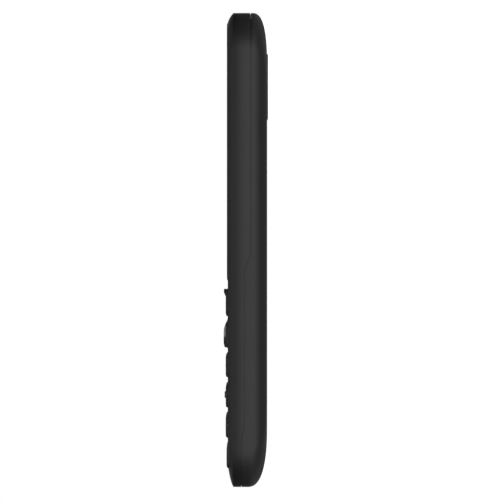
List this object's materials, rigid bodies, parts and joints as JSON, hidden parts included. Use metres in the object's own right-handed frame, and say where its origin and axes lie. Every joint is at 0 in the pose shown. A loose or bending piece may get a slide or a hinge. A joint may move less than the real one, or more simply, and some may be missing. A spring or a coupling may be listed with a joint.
{
  "type": "bar phone",
  "caption": "Black bar mobile phone with a keypad, a display window and a removable battery cover, lying on its back.",
  "frame": {"origin": "centre of the bounding box's bottom face, on the outside of the raised camera plate, with the phone lying on its back", "axes": "+Y towards the phone's top end, +Z out of the display, +X to the right of someone looking at the display"},
  "size_m": [0.053, 0.124, 0.0116],
  "materials": {
    "housing_plastic": "fine satin black",
    "cover_plastic": "fine matt black",
    "chassis_plastic": "moulded dark grey",
    "window_glass": "polished, printed black behind",
    "camera_glass": "polished",
    "clear_plastic": "clear moulded",
    "plate_plastic": "gloss black",
    "key_plastic": "satin black, printed legends",
    "nav_plastic": "satin dark",
    "inner_plastic": "moulded black",
    "silicone": "milky silicone",
    "dome_steel": "pressed steel domes under film",
    "led_resin": "clear resin over phosphor",
    "board_laminate": "green solder resist",
    "thin_steel": "tinned sheet",
    "chip_resin": "moulded black resin",
    "battery_wrap": "printed film wrap",
    "speaker_plastic": "moulded black",
    "mesh_steel": "blackened mesh",
    "display_panel": "dark when off",
    "foam": "black foam",
    "flex_film": "amber film",
    "camera_plastic": "moulded black",
    "motor_steel": "plain can",
    "heavy_metal": "sintered grey",
    "antenna_metal": "plated",
    "screw_steel": "blackened"
  },
  "bodies": {
    "back_cover": {"battery_cover": "cover_plastic", "camera_plate": "plate_plastic", "camera_window": "camera_glass"},
    "handset": {"antenna": "antenna_metal", "audio_jack": "inner_plastic", "battery": "battery_wrap", "battery_connector": "inner_plastic", "board_components": "chip_resin", "camera_module": "camera_plastic", "chassis_screws": "screw_steel", "display_bracket": "thin_steel", "display_flex": "flex_film", "display_gasket": "foam", "display_module": "display_panel", "display_window": "window_glass", "dome_sheet": "dome_steel", "earpiece_grille": "mesh_steel", "earpiece_receiver": "speaker_plastic", "flash_led": "led_resin", "flash_lens": "clear_plastic", "front_housing": "housing_plastic", "keypad_leds": "led_resin", "keypad_mat": "silicone", "loudspeaker": "speaker_plastic", "loudspeaker_mesh": "mesh_steel", "main_board": "board_laminate", "memory_card_socket": "thin_steel", "microphone": "thin_steel", "processor_shield": "thin_steel", "radio_shield": "thin_steel", "rear_chassis": "chassis_plastic", "sim_socket_a": "thin_steel", "sim_socket_b": "thin_steel", "usb_socket": "thin_steel", "vibration_motor": "motor_steel", "window_gasket": "foam"},
    "soft_key_left": {"soft_key_left": "key_plastic"},
    "soft_key_right": {"soft_key_right": "key_plastic"},
    "call_key": {"call_key": "key_plastic"},
    "end_key": {"end_key": "key_plastic"},
    "key_1": {"key_1": "key_plastic"},
    "key_2": {"key_2": "key_plastic"},
    "key_3": {"key_3": "key_plastic"},
    "key_4": {"key_4": "key_plastic"},
    "key_5": {"key_5": "key_plastic"},
    "key_6": {"key_6": "key_plastic"},
    "key_7": {"key_7": "key_plastic"},
    "key_8": {"key_8": "key_plastic"},
    "key_9": {"key_9": "key_plastic"},
    "key_star": {"key_star": "key_plastic"},
    "key_0": {"key_0": "key_plastic"},
    "key_hash": {"key_hash": "key_plastic"},
    "nav_center_key": {"nav_center_key": "nav_plastic"},
    "nav_rocker": {"nav_rocker": "inner_plastic"},
    "nav_ring": {"nav_ring": "nav_plastic"},
    "eccentric_weight": {"eccentric_weight": "heavy_metal"}
  },
  "joints": [
    {"name": "handset_lift", "type": "slide", "parent": "back_cover", "child": "handset", "axis": [0, 0, 1], "range_m": [0, 0.03]},
    {"name": "soft_key_left_press", "type": "slide", "parent": "handset", "child": "soft_key_left", "axis": [0, 0, -1], "range_m": [0, 0.00035], "stiffness_N_per_m": 1500, "deforming": ["keypad_mat", "dome_sheet"]},
    {"name": "soft_key_right_press", "type": "slide", "parent": "handset", "child": "soft_key_right", "axis": [0, 0, -1], "range_m": [0, 0.00035], "stiffness_N_per_m": 1500, "deforming": ["keypad_mat", "dome_sheet"]},
    {"name": "call_key_press", "type": "slide", "parent": "handset", "child": "call_key", "axis": [0, 0, -1], "range_m": [0, 0.00035], "stiffness_N_per_m": 1500, "deforming": ["keypad_mat", "dome_sheet"]},
    {"name": "end_key_press", "type": "slide", "parent": "handset", "child": "end_key", "axis": [0, 0, -1], "range_m": [0, 0.00035], "stiffness_N_per_m": 1500, "deforming": ["keypad_mat", "dome_sheet"]},
    {"name": "key_1_press", "type": "slide", "parent": "handset", "child": "key_1", "axis": [0, 0, -1], "range_m": [0, 0.00035], "stiffness_N_per_m": 1500, "deforming": ["keypad_mat", "dome_sheet"]},
    {"name": "key_2_press", "type": "slide", "parent": "handset", "child": "key_2", "axis": [0, 0, -1], "range_m": [0, 0.00035], "stiffness_N_per_m": 1500, "deforming": ["keypad_mat", "dome_sheet"]},
    {"name": "key_3_press", "type": "slide", "parent": "handset", "child": "key_3", "axis": [0, 0, -1], "range_m": [0, 0.00035], "stiffness_N_per_m": 1500, "deforming": ["keypad_mat", "dome_sheet"]},
    {"name": "key_4_press", "type": "slide", "parent": "handset", "child": "key_4", "axis": [0, 0, -1], "range_m": [0, 0.00035], "stiffness_N_per_m": 1500, "deforming": ["keypad_mat", "dome_sheet"]},
    {"name": "key_5_press", "type": "slide", "parent": "handset", "child": "key_5", "axis": [0, 0, -1], "range_m": [0, 0.00035], "stiffness_N_per_m": 1500, "deforming": ["keypad_mat", "dome_sheet"]},
    {"name": "key_6_press", "type": "slide", "parent": "handset", "child": "key_6", "axis": [0, 0, -1], "range_m": [0, 0.00035], "stiffness_N_per_m": 1500, "deforming": ["keypad_mat", "dome_sheet"]},
    {"name": "key_7_press", "type": "slide", "parent": "handset", "child": "key_7", "axis": [0, 0, -1], "range_m": [0, 0.00035], "stiffness_N_per_m": 1500, "deforming": ["keypad_mat", "dome_sheet"]},
    {"name": "key_8_press", "type": "slide", "parent": "handset", "child": "key_8", "axis": [0, 0, -1], "range_m": [0, 0.00035], "stiffness_N_per_m": 1500, "deforming": ["keypad_mat", "dome_sheet"]},
    {"name": "key_9_press", "type": "slide", "parent": "handset", "child": "key_9", "axis": [0, 0, -1], "range_m": [0, 0.00035], "stiffness_N_per_m": 1500, "deforming": ["keypad_mat", "dome_sheet"]},
    {"name": "key_star_press", "type": "slide", "parent": "handset", "child": "key_star", "axis": [0, 0, -1], "range_m": [0, 0.00035], "stiffness_N_per_m": 1500, "deforming": ["keypad_mat", "dome_sheet"]},
    {"name": "key_0_press", "type": "slide", "parent": "handset", "child": "key_0", "axis": [0, 0, -1], "range_m": [0, 0.00035], "stiffness_N_per_m": 1500, "deforming": ["keypad_mat", "dome_sheet"]},
    {"name": "key_hash_press", "type": "slide", "parent": "handset", "child": "key_hash", "axis": [0, 0, -1], "range_m": [0, 0.00035], "stiffness_N_per_m": 1500, "deforming": ["keypad_mat", "dome_sheet"]},
    {"name": "nav_center_key_press", "type": "slide", "parent": "handset", "child": "nav_center_key", "axis": [0, 0, -1], "range_m": [0, 0.00035], "stiffness_N_per_m": 1500, "deforming": ["keypad_mat", "dome_sheet"]},
    {"name": "nav_tilt_left_right", "type": "hinge", "parent": "handset", "child": "nav_rocker", "pos_m": [0, -0.0179, 0.00873], "axis": [0, 1, 0], "range_deg": [-1.1, 1.1], "stiffness_Nm_per_rad": 0.4, "deforming": ["keypad_mat", "dome_sheet"]},
    {"name": "nav_tilt_up_down", "type": "hinge", "parent": "nav_rocker", "child": "nav_ring", "pos_m": [0, -0.0179, 0.00873], "axis": [1, 0, 0], "range_deg": [-1.1, 1.1], "stiffness_Nm_per_rad": 0.4, "deforming": ["keypad_mat", "dome_sheet"]},
    {"name": "motor_spin", "type": "hinge", "parent": "handset", "child": "eccentric_weight", "pos_m": [-0.01355, -0.05, 0.00463], "axis": [1, 0, 0], "continuous": true}
  ]
}
